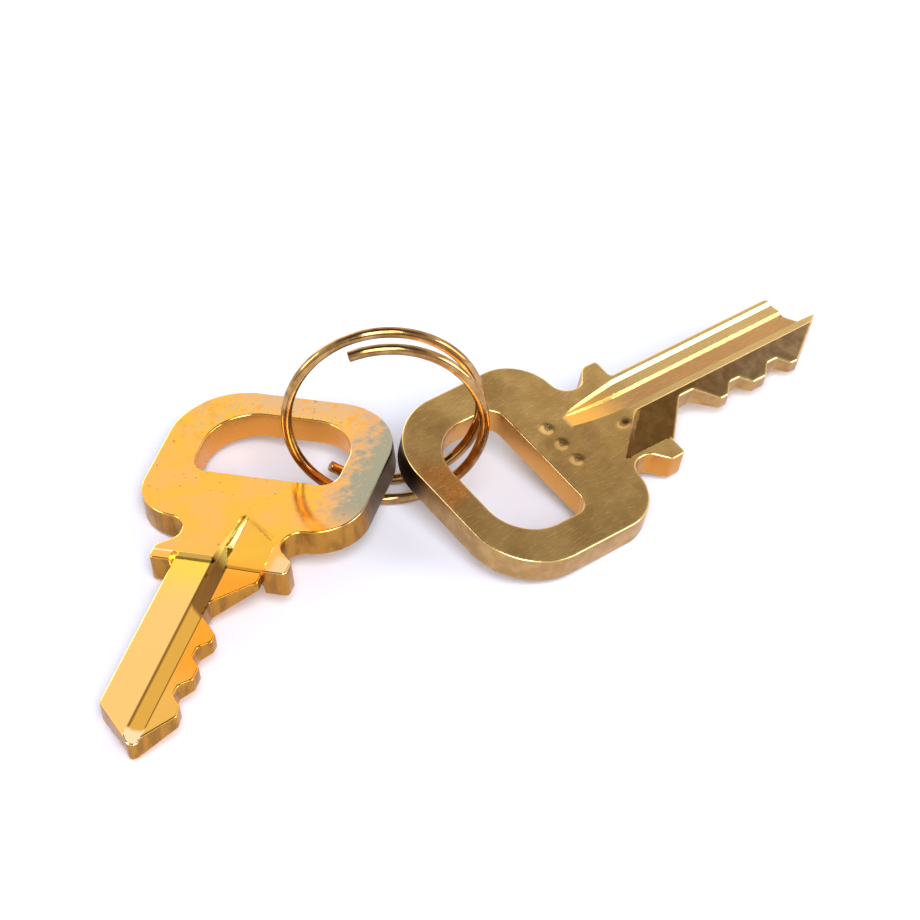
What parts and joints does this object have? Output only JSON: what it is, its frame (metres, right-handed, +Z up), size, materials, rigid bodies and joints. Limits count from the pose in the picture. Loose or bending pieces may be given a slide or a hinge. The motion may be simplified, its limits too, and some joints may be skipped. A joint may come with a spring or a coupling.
{
  "type": "padlock keys on a wire ring",
  "caption": "Small flat brass padlock keys with milled, cut blades and D-shaped bows, hung on an open coil of brass wire.",
  "frame": {"origin": "middle of the footprint, on the surface that the keys lie on", "axes": "+Z up; +X to the right, the long way of the laid-out bunch; -Y towards the viewer who reads the right key's marked side"},
  "size_m": [0.048, 0.0444, 0.0141],
  "materials": {
    "golden_brass": "bright, heat-tinted towards the bow's rim",
    "olive_brass": "brushed, slightly tarnished",
    "wire_brass": "drawn wire, polished"
  },
  "bodies": {
    "ring": {"key_ring": "wire_brass"},
    "left": {"left_key": "golden_brass"},
    "right": {"right_key": "olive_brass"}
  },
  "joints": [
    {"name": "left_key_round_ring", "type": "hinge", "parent": "ring", "child": "left", "pos_m": [-0.00623, 0.00427, 0.00694], "axis": [0.0609, -0.9963, 0.061], "range_deg": [-90, 0]},
    {"name": "right_key_swing", "type": "hinge", "parent": "ring", "child": "right", "pos_m": [-0.00095, 0.00353, 0.00292], "axis": [0.6161, 0.0361, 0.7868], "range_deg": [-8, 105]}
  ]
}
